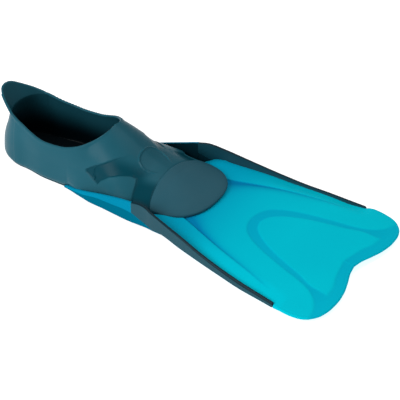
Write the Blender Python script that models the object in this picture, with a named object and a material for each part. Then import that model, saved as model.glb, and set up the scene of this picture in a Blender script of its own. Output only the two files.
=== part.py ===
"""Full-foot swim fin: a soft foot pocket held in a stiff frame, and a long sprung blade with side rails.

Metres, +Z up. The fin lies as it does on a floor, on its heel and on the two lobes of its tail. Inside this
file X runs from the back of the heel (0) to the tail, Y across and Z up from the floor. The empty fin_frame
then moves the whole fin so that the origin is at the middle of its footprint.
"""
import math

import bmesh
import bpy
import numpy as np

# Overall places along the fin
HEEL_FAN_X = 0.040          # the heel's half-round outline is struck about this point
TOE_FAN_X = 0.232           # and the toe's about this one
HEEL_LENGTH = 0.041
TOE_LENGTH = 0.0518
TOE_SQUARENESS = 2.40       # exponent of the toe's outline: 2 is an ellipse
TAIL_X = 0.4717             # furthest point of the tail lobes
TAB_TIP = (-0.0065, 0.0815)  # X and Z of the heel tab's tip
ORIGIN_X = 0.5 * (TAB_TIP[0] + TAIL_X)

# Foot pocket: smooth curves along X, as (x, value)
POCKET_HALF_WIDTH = ((0.040, 0.0365), (0.075, 0.0410), (0.107, 0.0415), (0.140, 0.0435),
                     (0.170, 0.0475), (0.200, 0.0520), (0.232, 0.0545))
POCKET_BOTTOM = ((0.000, 0.0030), (0.080, 0.0030), (0.107, 0.0045), (0.150, 0.0100),
                 (0.200, 0.0135), (0.230, 0.0165), (0.260, 0.0205), (0.286, 0.0245))
POCKET_WIDEST = ((0.000, 0.0230), (0.100, 0.0250), (0.180, 0.0265), (0.232, 0.0268), (0.286, 0.0282))
POCKET_CROWN = ((0.000, 0.1180), (0.090, 0.1160), (0.120, 0.1050), (0.137, 0.0851), (0.155, 0.0777),
                (0.170, 0.0705), (0.185, 0.0618), (0.205, 0.0508), (0.232, 0.0434))
CROWN_SLOPE = -0.12         # fall of the crown line over the toes
COLLAR_RIM = ((0.040, 0.0624), (0.056, 0.0575), (0.079, 0.0537), (0.100, 0.0551), (0.114, 0.0588),
              (0.135, 0.0686), (0.143, 0.0742), (0.150, 0.0815), (0.158, 0.0915))
HEEL_RIM = ((0.0, 0.0650), (42.0, 0.0650), (56.0, 0.0690), (72.0, 0.0656), (90.0, 0.0624))  # by fan angle
HEEL_BACK_SHIFT = ((0.000, -0.0020), (0.022, -0.0008), (0.050, 0.0062), (0.066, 0.0060), (0.086, -0.0110))
LOWER_SQUARENESS = ((0.000, 6.0), (0.090, 5.5), (0.140, 4.5), (0.190, 3.4), (0.286, 3.4))
UPPER_SQUARENESS = ((0.000, 1.85), (0.140, 1.85), (0.200, 1.55), (0.286, 1.55))
SHELL = 0.0030
WELD = 1e-6
GAP = 0.0003                # clearance between neighbouring pieces
SIDE_GAP = 0.0006           # clearance along the rails, whose facets don't line up with the blade's

# Toe cap: the part of the shell forward of an upright seam
CAP_SEAM_X = 0.2240
CAP_BLOCK_SIZE = (0.120, 0.160, 0.120)

# Frame and rails: (x, outer half width, underside, top edge)
FRAME_EDGE = ((0.107, 0.0410, 0.0030, 0.0052), (0.126, 0.0500, 0.0048, 0.0125),
              (0.148, 0.0575, 0.0062, 0.0215), (0.169, 0.0610, 0.0078, 0.0284),
              (0.199, 0.0660, 0.0095, 0.0371), (0.216, 0.0695, 0.0120, 0.0414),
              (0.233, 0.0715, 0.0155, 0.0441), (0.244, 0.0740, 0.0185, 0.0411),
              (0.259, 0.0770, 0.0205, 0.0379), (0.288, 0.0822, 0.0157, 0.0312),
              (0.318, 0.0880, 0.0125, 0.0241), (0.346, 0.0927, 0.0094, 0.0188),
              (0.373, 0.0963, 0.0070, 0.0153), (0.400, 0.0990, 0.0052, 0.0124),
              (0.417, 0.1008, 0.0036, 0.0108))
WALL_THICKNESS = 0.0030
RAIL_THICKNESS = 0.0045
EDGE_CHAMFER = 0.0008
WALL_START_X = 0.108
WALL_END_X = 0.2161
RAIL_START_X = WALL_END_X + GAP
RAIL_END_X = 0.4170

# Blade
BLADE_REF_X = 0.300
BLADE_REF_Z = 0.0223        # top of the blade at BLADE_REF_X
BLADE_SLOPE = -0.109
ROOT_START_X = 0.2262
ROOT_ROLL = ((0.2262, 0.0080), (0.2320, 0.0044), (0.2400, 0.0014), (0.2520, 0.0000), (0.3000, 0.0000))
ROOT_THICKNESS = 0.0046
TAIL_THICKNESS = 0.0036
BLADE_BEVEL = 0.0008
TAIL_EDGE = ((0.4178, 0.1030), (0.4310, 0.1048), (0.4450, 0.1035), (0.4580, 0.0978), (0.4667, 0.0866),
             (0.4709, 0.0719), (TAIL_X, 0.0585), (0.4699, 0.0427), (0.4655, 0.0278), (0.4600, 0.0117),
             (0.4580, 0.0000))

# Blade hinge: stands in for the bend of the blade and rails at the toe
HINGE_X = 0.2930
HINGE_RELIEF = math.radians(14.5)   # lean of each end face away from the hinge line
HINGE_HALF_GAP = 0.0004
HINGE_OVERLAP = 0.0100              # how far each blank runs past the hinge line before it is cut
WEDGE_HEIGHT = 0.040
WEDGE_REACH = 0.220
WEDGE_HALF_WIDTH = 0.150

# Sole
PLATE_THICKNESS = 0.0024
PLATE_GAP = 0.0004
PLATE_END_X = 0.2620
GRIP_THICKNESS = 0.0012
GRIP_START_X = 0.165
GRIP_END_X = 0.236
GRIP_HALF_WIDTH = 0.044
GRIP_ROWS = 8
GRIP_CREST = 0.62                   # part of each row's pitch from its crest down to its hollow
OUTSOLE_END_X = 0.1030
OUTSOLE_INSET = 0.0015
OUTSOLE_HEEL_TRIM = 0.0006          # blunts the very back of the outsole
OUTSOLE_GROOVES = 6
GROOVE_START_X = 0.0140
GROOVE_PITCH = 0.0138
GROOVE_HALF_LENGTH = 0.0260
GROOVE_WIDTH = 0.0022
GROOVE_DEPTH = 0.0010
FOOTBED_THICKNESS = 0.0018
FOOTBED_BLANK = (-0.010, 0.300, 0.070, 0.010)   # start, end, half width and depth before trimming

# Heel tab
TAB_ROOT = (0.0085, 0.0672)         # X and Z of its hinge line
TAB_HALF_WIDTH = 0.0160
TAB_THICKNESS = 0.0028
TAB_WRAP = 27.0                     # how fast the tab bends round the heel: X grows by this times Y squared
TAB_ROOT_RISE = 20.0                # how fast its lower edge climbs to the sides
TAB_LEAN_POWER = 1.3                # 1 would be a straight lean
TAB_NARROW_START = 0.35             # part of its height where it starts to narrow
TAB_NARROW_POWER = 2.4
TAB_ROOT_TAPER = 0.45               # part of its thickness left at the root line
TAB_ACROSS_STEPS = 5
TAB_ALONG = (0.0, 0.06, 0.18, 0.34, 0.52, 0.70, 0.85, 0.95, 1.0)

# Mesh resolution
HEEL_STEPS = 9
COLLAR_STEPS = 16
INSTEP_STEPS = 9
TOE_STEPS = 10
LOWER_STEPS = 6
UPPER_STEPS = 7
RAIL_STEP = 0.012
EDGE_STEP = 0.015
PLATE_STEP = 0.008
ROOT_STEP = 0.006
OUTSOLE_STEP = 0.009
OUTSOLE_HEEL_STEPS = 8
SHADE_ANGLE = math.radians(35.0)
BEVEL_ANGLE = math.radians(50.0)

COLOURS = {
    "pocket_elastomer": ((0.026, 0.090, 0.118), 0.48),
    "toe_elastomer": ((0.030, 0.088, 0.112), 0.62),
    "insole_foam": ((0.010, 0.030, 0.038), 0.80),
    "sole_rubber": ((0.015, 0.035, 0.045), 0.75),
    "frame_plastic": ((0.000, 0.215, 0.480), 0.35),
    "rail_elastomer": ((0.012, 0.045, 0.065), 0.50),
    "blade_plastic": ((0.000, 0.480, 0.620), 0.35),
}


def smooth(x, knots, column=1):
    """Value at x of the monotone cubic curve through knots, held level beyond both ends."""
    xs = [k[0] for k in knots]
    ys = [k[column] for k in knots]
    if x <= xs[0]:
        return ys[0]
    if x >= xs[-1]:
        return ys[-1]
    chord = [(ys[i + 1] - ys[i]) / (xs[i + 1] - xs[i]) for i in range(len(xs) - 1)]
    slope = [chord[0]]
    for before, after in zip(chord, chord[1:]):
        slope.append(0.0 if before * after <= 0 else 2.0 * before * after / (before + after))
    slope.append(chord[-1])
    i = max(k for k in range(len(xs) - 1) if xs[k] <= x)
    span = xs[i + 1] - xs[i]
    t = (x - xs[i]) / span
    return ((2 * t**3 - 3 * t**2 + 1) * ys[i] + (t**3 - 2 * t**2 + t) * span * slope[i]
            + (3 * t**2 - 2 * t**3) * ys[i + 1] + (t**3 - t**2) * span * slope[i + 1])


# ---------------------------------------------------------------- foot pocket surface

def crown_z(x):
    """Height of the pocket's crown line, which runs on over the toes at an even slope."""
    if x > TOE_FAN_X:
        return smooth(TOE_FAN_X, POCKET_CROWN) + CROWN_SLOPE * (x - TOE_FAN_X)
    return smooth(x, POCKET_CROWN)


def collar_front_x(inset):
    """Where the collar's rim crosses the crown line: the front of the opening."""
    low, high = 0.120, 0.158
    for _ in range(40):
        mid = 0.5 * (low + high)
        if smooth(mid, COLLAR_RIM) < crown_z(mid) - inset:
            low = mid
        else:
            high = mid
    return 0.5 * (low + high)


def pocket_stations(inset):
    """Stations from the back of the heel to the tip of the toe, each (centre x, outline x, outline y, rim z).

    Rim z is None where the section closes over the foot. The heel and the toe are fans about their centres.
    """
    stations = []
    heel_width = smooth(HEEL_FAN_X, POCKET_HALF_WIDTH) - inset
    for k in range(HEEL_STEPS):
        angle = 0.5 * math.pi * k / HEEL_STEPS
        stations.append((HEEL_FAN_X, HEEL_FAN_X - (HEEL_LENGTH - inset) * math.cos(angle),
                         heel_width * math.sin(angle), smooth(math.degrees(angle), HEEL_RIM)))
    front = collar_front_x(inset)
    for k in range(COLLAR_STEPS):
        part = math.sin(0.5 * math.pi * k / COLLAR_STEPS)
        x = HEEL_FAN_X + (front - HEEL_FAN_X) * part
        stations.append((x, x, smooth(x, POCKET_HALF_WIDTH) - inset, smooth(x, COLLAR_RIM)))
    for k in range(INSTEP_STEPS):
        x = front + (TOE_FAN_X - front) * k / INSTEP_STEPS
        stations.append((x, x, smooth(x, POCKET_HALF_WIDTH) - inset, None))
    toe_width = smooth(TOE_FAN_X, POCKET_HALF_WIDTH) - inset
    for k in range(TOE_STEPS + 1):
        angle = 0.5 * math.pi * (1.0 - k / TOE_STEPS)
        power = 2.0 / TOE_SQUARENESS
        stations.append((TOE_FAN_X, TOE_FAN_X + (TOE_LENGTH - inset) * max(math.cos(angle), 0.0)**power,
                         toe_width * max(math.sin(angle), 0.0)**power, None))
    return stations


def pocket_point(station, reach, z):
    """Point of a section at a part of its reach from the centre, with the heel's back shaped by height."""
    centre_x, outline_x, outline_y, _ = station
    x = centre_x + (outline_x - centre_x) * reach
    behind = max(0.0, (HEEL_FAN_X - x) / HEEL_LENGTH)
    return (x + smooth(z, HEEL_BACK_SHIFT) * behind**2, outline_y * reach, z)


def pocket_section(station, inset):
    """Half section from the middle of the sole, out to the side and up to the rim or the crown."""
    centre_x, outline_x, _, rim_z = station
    squareness = smooth(centre_x, UPPER_SQUARENESS)
    low_squareness = smooth(centre_x, LOWER_SQUARENESS)
    points = []
    for k in range(LOWER_STEPS + 1):
        angle = 0.5 * math.pi * (1.0 - k / LOWER_STEPS)
        reach = max(math.cos(angle), 0.0)**(2.0 / low_squareness)
        x = centre_x + (outline_x - centre_x) * reach
        widest, bottom = smooth(x, POCKET_WIDEST), smooth(x, POCKET_BOTTOM) + inset
        z = widest - (widest - bottom) * math.sin(angle)**(2.0 / low_squareness)
        points.append(pocket_point(station, reach, z))
    last = 0.5 * math.pi
    if rim_z is not None:
        widest = smooth(outline_x, POCKET_WIDEST)
        part = (rim_z - widest) / (crown_z(centre_x) - inset - widest)
        last = math.asin(min(1.0, part)**(0.5 * squareness))
    for k in range(1, UPPER_STEPS + 1):
        angle = last * k / UPPER_STEPS
        reach = max(math.cos(angle), 0.0)**(2.0 / squareness)
        x = centre_x + (outline_x - centre_x) * reach
        widest = smooth(x, POCKET_WIDEST)
        crown = crown_z(x) - inset
        z = widest + (crown - widest) * math.sin(angle)**(2.0 / squareness)
        points.append(pocket_point(station, reach, z))
    return points


def add_grid(bm, rows):
    """Quads over a grid of points, given as equal rows. Returns the rows of vertices."""
    verts = [[bm.verts.new(p) for p in row] for row in rows]
    for row, after in zip(verts, verts[1:]):
        for k in range(len(row) - 1):
            bm.faces.new((row[k], row[k + 1], after[k + 1], after[k]))
    return verts


def close_mesh(bm):
    """Weld points that meet, drop collapsed faces and turn every face outward."""
    bmesh.ops.remove_doubles(bm, verts=bm.verts, dist=WELD)
    bmesh.ops.dissolve_degenerate(bm, dist=0.1 * WELD, edges=bm.edges)
    bmesh.ops.recalc_face_normals(bm, faces=bm.faces)
    return bm


def pocket_skin(bm, inset):
    """One skin of the pocket on both sides. Returns its rows of vertices, far side first."""
    stations = pocket_stations(inset)
    skins = []
    for side in (1, -1):
        rows = [[(x, side * y, z) for x, y, z in pocket_section(s, inset)] for s in stations]
        skins.append(add_grid(bm, rows))
    rim_rows = [k for k, s in enumerate(stations) if s[3] is not None]
    return skins, rim_rows + [rim_rows[-1] + 1]


def pocket_shell():
    """The whole elastomer shell of the foot pocket, with the collar open at the top."""
    bm = bmesh.new()
    outer, rim_rows = pocket_skin(bm, 0.0)
    inner, _ = pocket_skin(bm, SHELL)
    for out_side, in_side in zip(outer, inner):
        for k, after in zip(rim_rows, rim_rows[1:]):
            bm.faces.new((out_side[k][-1], out_side[after][-1], in_side[after][-1], in_side[k][-1]))
    return close_mesh(bm)


def pocket_envelope(growth):
    """Closed body a little larger than the pocket, for cutting neighbours clear of it."""
    bm = bmesh.new()
    _, rim_rows = pocket_skin(bm, -growth)
    close_mesh(bm)
    rim_edges = [e for e in bm.edges if e.is_boundary]
    bmesh.ops.contextual_create(bm, geom=rim_edges)
    bmesh.ops.recalc_face_normals(bm, faces=bm.faces)
    return bm


# ---------------------------------------------------------------- frame, rails, blade and sole shapes

def blade_top(x):
    """Top of the blade, with its root rolled down behind the toe."""
    return BLADE_REF_Z + BLADE_SLOPE * (x - BLADE_REF_X) - smooth(x, ROOT_ROLL)


def blade_thickness(x):
    part = (x - HINGE_X) / (TAIL_X - HINGE_X)
    return ROOT_THICKNESS + (TAIL_THICKNESS - ROOT_THICKNESS) * max(0.0, part)


def inner_half_width(x, thickness):
    """Half width left between the walls or rails."""
    return smooth(x, FRAME_EDGE, 1) - thickness - SIDE_GAP


def steps(start, end, size):
    count = max(2, round((end - start) / size))
    return [start + (end - start) * k / count for k in range(count + 1)]


def upright_bar(side, start, end, thickness):
    """Wall or rail: an upright bar with chamfered edges that follows the frame's edge curves."""
    bm = bmesh.new()
    rings = []
    for x in steps(start, end, RAIL_STEP):
        outer, low, high = (smooth(x, FRAME_EDGE, column) for column in (1, 2, 3))
        inner, c = outer - thickness, min(EDGE_CHAMFER, 0.3 * (high - low))
        section = ((outer - c, low), (outer, low + c), (outer, high - c), (outer - c, high),
                   (inner + c, high), (inner, high - c), (inner, low + c), (inner + c, low))
        rings.append([(x, side * y, z) for y, z in section + section[:1]])
    verts = add_grid(bm, rings)
    bm.faces.new(verts[0][:-1])
    bm.faces.new(verts[-1][:-1])
    return close_mesh(bm)


def slab(outline, top, bottom):
    """Closed plate over a plan outline, with its top and bottom heights given as functions of x."""
    bm = bmesh.new()
    upper = [bm.verts.new((x, y, top(x))) for x, y in outline]
    lower = [bm.verts.new((x, y, bottom(x))) for x, y in outline]
    bm.faces.new(upper)
    bm.faces.new(lower[::-1])
    for k in range(len(outline)):
        j = (k + 1) % len(outline)
        bm.faces.new((upper[j], upper[k], lower[k], lower[j]))
    return close_mesh(bm)


def strip(stations, half_width, top, bottom):
    """Closed plate along X whose top and bottom bend with x, as rows of boxes."""
    bm = bmesh.new()
    rings = []
    for x in stations:
        w = half_width(x)
        section = ((-w, bottom(x)), (w, bottom(x)), (w, top(x)), (-w, top(x)))
        rings.append([(x, y, z) for y, z in section + section[:1]])
    verts = add_grid(bm, rings)
    bm.faces.new(verts[0][:-1])
    bm.faces.new(verts[-1][:-1])
    return close_mesh(bm)


def blade_outline():
    """Plan outline of the blade beyond the hinge, from the hinge round the tail and back."""
    stations = steps(HINGE_X - HINGE_OVERLAP, RAIL_END_X + GAP, EDGE_STEP)
    half = [(x, inner_half_width(x, RAIL_THICKNESS)) for x in stations] + list(TAIL_EDGE)
    return half + [(x, -y) for x, y in half[-2::-1]]


def hinge_wedge(forward):
    """Cutter that removes everything on one side of the hinge line, with faces leaning away from it."""
    hinge_z = blade_top(HINGE_X) - 0.5 * ROOT_THICKNESS
    lean = WEDGE_HEIGHT * math.tan(HINGE_RELIEF)
    sign = 1.0 if forward else -1.0
    profile = ((HINGE_X - sign * HINGE_HALF_GAP, hinge_z),
               (HINGE_X - sign * (HINGE_HALF_GAP + lean), hinge_z + WEDGE_HEIGHT),
               (HINGE_X + sign * WEDGE_REACH, hinge_z + WEDGE_HEIGHT),
               (HINGE_X + sign * WEDGE_REACH, hinge_z - WEDGE_HEIGHT),
               (HINGE_X - sign * (HINGE_HALF_GAP + lean), hinge_z - WEDGE_HEIGHT))
    bm = bmesh.new()
    sides = [[bm.verts.new((x, y, z)) for x, z in profile] for y in (-WEDGE_HALF_WIDTH, WEDGE_HALF_WIDTH)]
    bm.faces.new(sides[0])
    bm.faces.new(sides[1][::-1])
    for k in range(len(profile)):
        j = (k + 1) % len(profile)
        bm.faces.new((sides[0][j], sides[0][k], sides[1][k], sides[1][j]))
    return close_mesh(bm)


def cap_block(start_x):
    """Block over the toes, whose back face is the seam between the pocket and the toe cap."""
    bm = bmesh.new()
    bmesh.ops.create_cube(bm, size=1.0)
    bmesh.ops.scale(bm, verts=bm.verts, vec=CAP_BLOCK_SIZE)
    length, _, height = CAP_BLOCK_SIZE
    bmesh.ops.translate(bm, verts=bm.verts, vec=(start_x + 0.5 * length, 0.0, 0.5 * height))
    return bm


def outsole_stations():
    """Stations of the outsole, close together round the back of the heel."""
    length = HEEL_LENGTH - OUTSOLE_INSET
    angles = [0.5 * math.pi * k / OUTSOLE_HEEL_STEPS for k in range(OUTSOLE_HEEL_STEPS)]
    heel = [HEEL_FAN_X - length * math.cos(angle) for angle in angles]
    heel[0] += OUTSOLE_HEEL_TRIM
    return heel + steps(HEEL_FAN_X, OUTSOLE_END_X, OUTSOLE_STEP)


def outsole_half_width(x):
    behind = max(0.0, HEEL_FAN_X - x) / (HEEL_LENGTH - OUTSOLE_INSET)
    return (smooth(x, POCKET_HALF_WIDTH) - OUTSOLE_INSET) * math.sqrt(1.0 - behind**2)


def groove_cutter(x):
    """Bar that cuts one tread groove across the underside of the heel."""
    bm = bmesh.new()
    bmesh.ops.create_cube(bm, size=1.0)
    bmesh.ops.scale(bm, verts=bm.verts, vec=(GROOVE_WIDTH, 2.0 * GROOVE_HALF_LENGTH, 2.0 * GROOVE_DEPTH))
    bmesh.ops.translate(bm, verts=bm.verts, vec=(x, 0.0, 0.0))
    return bm


def footbed_layer():
    """Layer over the pocket's floor, which trims the insole out of the pocket's inside."""
    start, end, half_width, depth = FOOTBED_BLANK

    def top(x):
        return smooth(x, POCKET_BOTTOM) + SHELL + PLATE_GAP + FOOTBED_THICKNESS

    return strip(steps(start, end, depth), lambda x: half_width, top, lambda x: top(x) - depth)


def tab_row(v, depth):
    """Points across the heel tab at a part v of its height, on its front (depth 0.5) or back (-0.5) face."""
    narrowing = max(0.0, (v - TAB_NARROW_START) / (1.0 - TAB_NARROW_START))
    half_width = TAB_HALF_WIDTH * math.sqrt(1.0 - narrowing**TAB_NARROW_POWER)
    thickness = TAB_THICKNESS * (TAB_ROOT_TAPER if v == 0.0 else 1.0)
    lean = (TAB_TIP[0] + 0.5 * TAB_THICKNESS - TAB_ROOT[0]) * v**TAB_LEAN_POWER
    row = []
    for k in range(-TAB_ACROSS_STEPS, TAB_ACROSS_STEPS + 1):
        y = half_width * math.sin(0.5 * math.pi * k / TAB_ACROSS_STEPS)
        z = TAB_ROOT[1] + (TAB_TIP[1] - TAB_ROOT[1]) * v + TAB_ROOT_RISE * y**2 * (1.0 - v)
        row.append((TAB_ROOT[0] + lean + TAB_WRAP * y**2 + depth * thickness, y, z))
    return row


def border(grid):
    """Vertices round the edge of a grid, in order."""
    right = [row[-1] for row in grid[1:]]
    left = [row[0] for row in grid[-2:0:-1]]
    return grid[0] + right + grid[-1][-2::-1] + left


def heel_tab_body():
    """Curved tongue that leans back from its root, with a blunt root and a round tip."""
    bm = bmesh.new()
    front, back = (border(add_grid(bm, [tab_row(v, depth) for v in TAB_ALONG])) for depth in (0.5, -0.5))
    for k in range(len(front)):
        j = (k + 1) % len(front)
        bm.faces.new((front[k], front[j], back[j], back[k]))
    return close_mesh(bm)


# ---------------------------------------------------------------- objects

def clear_scene():
    for obj in list(bpy.data.objects):
        bpy.data.objects.remove(obj, do_unlink=True)


def material(name):
    found = bpy.data.materials.get(name)
    if found:
        return found
    colour, roughness = COLOURS[name]
    mat = bpy.data.materials.new(name)
    mat.use_nodes = True
    shader = mat.node_tree.nodes["Principled BSDF"]
    shader.inputs["Base Color"].default_value = (*colour, 1.0)
    shader.inputs["Roughness"].default_value = roughness
    shader.inputs["Metallic"].default_value = 0.0
    mat.diffuse_color = (*colour, 1.0)
    return mat


def empty(name, location, parent=None):
    obj = bpy.data.objects.new(name, None)
    obj.location = location
    obj.parent = parent
    bpy.context.collection.objects.link(obj)
    return obj


def body(name, bm, mat, parent, origin=(0.0, 0.0, 0.0)):
    """Object with the given mesh, whose own origin lies at the parent empty."""
    bmesh.ops.translate(bm, verts=bm.verts, vec=[-c for c in origin])
    mesh = bpy.data.meshes.new(name)
    bm.to_mesh(mesh)
    bm.free()
    mesh.shade_smooth()
    mesh.set_sharp_from_angle(angle=SHADE_ANGLE)
    obj = bpy.data.objects.new(name, mesh)
    obj.parent = parent
    bpy.context.collection.objects.link(obj)
    if mat:
        mesh.materials.append(material(mat))
    return obj


def cutter(name, bm, parent):
    obj = body(name, bm, None, parent)
    obj.hide_render = True
    obj.display_type = "WIRE"
    return obj


def cut(obj, tool, operation="DIFFERENCE"):
    modifier = obj.modifiers.new(tool.name, "BOOLEAN")
    modifier.object = tool
    modifier.operation = operation
    modifier.solver = "EXACT"


def bevel(obj, width):
    modifier = obj.modifiers.new("Edge", "BEVEL")
    modifier.width = width
    modifier.segments = 1
    modifier.limit_method = "ANGLE"
    modifier.angle_limit = BEVEL_ANGLE


def build_pocket(frame):
    seam = cutter("cut_cap_seam", cap_block(CAP_SEAM_X - GAP), frame)
    core = cutter("cut_cap_core", cap_block(CAP_SEAM_X), frame)
    cut(body("foot_pocket", pocket_shell(), "pocket_elastomer", frame), seam)
    cut(body("toe_cap", pocket_shell(), "toe_elastomer", frame), core, "INTERSECT")
    footbed = body("footbed", pocket_envelope(-SHELL - PLATE_GAP), "insole_foam", frame)
    cut(footbed, cutter("cut_footbed", footbed_layer(), frame), "INTERSECT")


def build_sole(frame):
    def top(x):
        return smooth(x, POCKET_BOTTOM) - PLATE_GAP

    def bottom(x):
        return top(x) - PLATE_THICKNESS

    def half_width(x):
        return inner_half_width(x, RAIL_THICKNESS if x > WALL_END_X - 0.5 * PLATE_STEP else WALL_THICKNESS)

    body("sole_plate", strip(steps(WALL_START_X, PLATE_END_X, PLATE_STEP), half_width, top, bottom),
         "frame_plastic", frame)
    outsole = body("outsole", strip(outsole_stations(), outsole_half_width,
                                    lambda x: smooth(x, POCKET_BOTTOM) - PLATE_GAP, lambda x: 0.0),
                   "sole_rubber", frame)
    for k in range(OUTSOLE_GROOVES):
        cut(outsole, cutter(f"cut_groove_{k}", groove_cutter(GROOVE_START_X + k * GROOVE_PITCH), frame))
    pitch = (GRIP_END_X - GRIP_START_X) / GRIP_ROWS
    tread = [GRIP_START_X + (k + part) * pitch for k in range(GRIP_ROWS) for part in (0.0, GRIP_CREST)]

    def grip_bottom(x):
        row = (x - GRIP_START_X) / pitch % 1.0
        return bottom(x) - GAP - GRIP_THICKNESS * (1.0 if row < 0.5 * GRIP_CREST else 0.5)

    body("ball_grip", strip(tread, lambda x: GRIP_HALF_WIDTH, lambda x: bottom(x) - GAP, grip_bottom),
         "sole_rubber", frame)


def build_frame(frame, hinge, hinge_place):
    fore = cutter("cut_fore_of_hinge", hinge_wedge(True), frame)
    aft = cutter("cut_aft_of_hinge", hinge_wedge(False), frame)
    for side, hand in ((1, "left"), (-1, "right")):
        body(f"side_wall_{hand}", upright_bar(side, WALL_START_X, WALL_END_X, WALL_THICKNESS),
             "frame_plastic", frame)
        cut(body(f"rail_root_{hand}", upright_bar(side, RAIL_START_X, RAIL_END_X, RAIL_THICKNESS),
                 "rail_elastomer", frame), fore)
        cut(body(f"rail_{hand}", upright_bar(side, RAIL_START_X, RAIL_END_X, RAIL_THICKNESS),
                 "rail_elastomer", hinge, hinge_place), aft)
    root = strip(steps(ROOT_START_X, HINGE_X + HINGE_OVERLAP, ROOT_STEP),
                 lambda x: inner_half_width(x, RAIL_THICKNESS),
                 blade_top, lambda x: blade_top(x) - blade_thickness(x))
    blade_root = body("blade_root", root, "blade_plastic", frame)
    cut(blade_root, cutter("cut_pocket_seat", pocket_envelope(PLATE_GAP), frame))
    cut(blade_root, fore)
    panel = slab(blade_outline(), blade_top, lambda x: blade_top(x) - blade_thickness(x))
    blade_panel = body("blade_panel", panel, "blade_plastic", hinge, hinge_place)
    bevel(blade_panel, BLADE_BEVEL)
    cut(blade_panel, aft)


def main():
    clear_scene()
    frame = empty("fin_frame", (-ORIGIN_X, 0.0, 0.0))
    hinge_place = (HINGE_X, 0.0, blade_top(HINGE_X) - 0.5 * ROOT_THICKNESS)
    hinge = empty("blade_hinge", hinge_place, frame)
    tab_place = (TAB_ROOT[0], 0.0, TAB_ROOT[1])
    tab_hinge = empty("tab_hinge", tab_place, frame)
    build_pocket(frame)
    build_sole(frame)
    build_frame(frame, hinge, hinge_place)
    body("heel_tab", heel_tab_body(), "pocket_elastomer", tab_hinge, tab_place)


main()
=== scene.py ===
"""Looks of the full-foot swim fin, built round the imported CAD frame.

Lengths are in metres. The shapes are worked out in fin coordinates, in which X runs from the back of the heel
(0) to the tail, Y across and Z up from the floor; Surface.build moves them to the frame's own origin.
"""
import math

import bmesh
import bpy
import numpy as np
from mathutils import Matrix, Vector


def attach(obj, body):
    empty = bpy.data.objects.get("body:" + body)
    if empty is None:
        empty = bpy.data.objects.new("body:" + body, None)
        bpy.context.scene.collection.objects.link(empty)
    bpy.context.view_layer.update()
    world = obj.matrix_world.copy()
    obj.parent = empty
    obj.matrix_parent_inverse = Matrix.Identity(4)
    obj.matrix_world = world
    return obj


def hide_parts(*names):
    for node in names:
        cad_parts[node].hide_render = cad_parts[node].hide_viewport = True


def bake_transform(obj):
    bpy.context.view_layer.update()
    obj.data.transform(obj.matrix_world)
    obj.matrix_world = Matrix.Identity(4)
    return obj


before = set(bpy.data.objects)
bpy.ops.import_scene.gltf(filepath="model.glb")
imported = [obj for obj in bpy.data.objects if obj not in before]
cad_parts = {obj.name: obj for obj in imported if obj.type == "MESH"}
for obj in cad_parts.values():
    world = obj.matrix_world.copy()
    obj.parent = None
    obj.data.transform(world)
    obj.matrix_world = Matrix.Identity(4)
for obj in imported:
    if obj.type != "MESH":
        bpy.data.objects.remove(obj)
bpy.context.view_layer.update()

ORIGIN_X = 0.2326           # the frame's origin in fin coordinates

# Foot pocket: smooth curves along X, as (x, value)
HEEL_FAN_X, TOE_FAN_X = 0.040, 0.232
HEEL_LENGTH, TOE_LENGTH = 0.041, 0.0518
SEAM_X = 0.2208             # seam between the pocket and the toe cap, at the middle of the foot
SEAM_BOW, SEAM_REACH = 0.0092, 0.054    # how far it swings forward at the sides, and where
TOE_SQUARENESS = 2.4
LOWER_SQUARENESS = ((0.000, 8.0), (0.080, 8.0), (0.140, 6.0), (0.190, 3.4), (0.286, 3.4))
UPPER_SQUARENESS = ((0.000, 1.85), (0.140, 1.85), (0.200, 1.55), (0.286, 1.55))
SHELL = 0.0030
HALF_WIDTH = ((0.040, 0.0365), (0.041, 0.0365), (0.075, 0.0410), (0.107, 0.0415), (0.140, 0.0435),
              (0.170, 0.0475), (0.200, 0.0520), (0.232, 0.0545))
BOTTOM = ((0.000, 0.0004), (0.098, 0.0005), (0.112, 0.0034), (0.150, 0.0100),
          (0.200, 0.0135), (0.230, 0.0165), (0.260, 0.0205), (0.286, 0.0245))
WIDEST = ((0.000, 0.0230), (0.100, 0.0250), (0.180, 0.0265), (0.232, 0.0268), (0.286, 0.0282))
CROWN = ((0.000, 0.1180), (0.090, 0.1160), (0.120, 0.1050), (0.137, 0.0851), (0.155, 0.0777),
         (0.170, 0.0705), (0.185, 0.0618), (0.205, 0.0508), (0.232, 0.0434))
CROWN_SLOPE = -0.12
RIM = ((0.040, 0.0624), (0.056, 0.0575), (0.079, 0.0537), (0.100, 0.0551), (0.114, 0.0588),
       (0.135, 0.0686), (0.143, 0.0742), (0.150, 0.0815), (0.158, 0.0915))
BACK_SHIFT = ((0.000, -0.0035), (0.010, -0.0022), (0.022, -0.0010), (0.035, 0.0022), (0.050, 0.0074),
              (0.062, 0.0096), (0.090, 0.0096))
RIM_DROP, RIM_FLARE = 0.0016, 0.0020    # how far the rim's lip lies below and outside the rim curves
# Rim round the heel tab: (angle of the heel's fan, x, y, z)
TAB_RIM = ((0.0, -0.0062, 0.0000, 0.0809), (8.0, -0.0054, 0.0053, 0.0804), (16.0, -0.0035, 0.0098, 0.0793),
           (24.0, -0.0005, 0.0135, 0.0776), (32.0, 0.0032, 0.0168, 0.0758), (40.0, 0.0076, 0.0199, 0.0739),
           (50.0, 0.0140, 0.0240, 0.0713), (60.0, 0.0207, 0.0277, 0.0686), (66.0, 0.0248, 0.0297, 0.0670),
           (78.0, 0.0326, 0.0322, 0.0645), (90.0, 0.0400, 0.0345, 0.0624))
TAB_BEND_Z = 0.0635
RIM_BEAD, RIM_BEAD_WIDTH = 0.0006, 0.0017
HEEL_ROWS, COLLAR_ROWS, INSTEP_ROWS, TOE_ROWS = 56, 90, 96, 60
GIRTH_STEPS = 170

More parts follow.
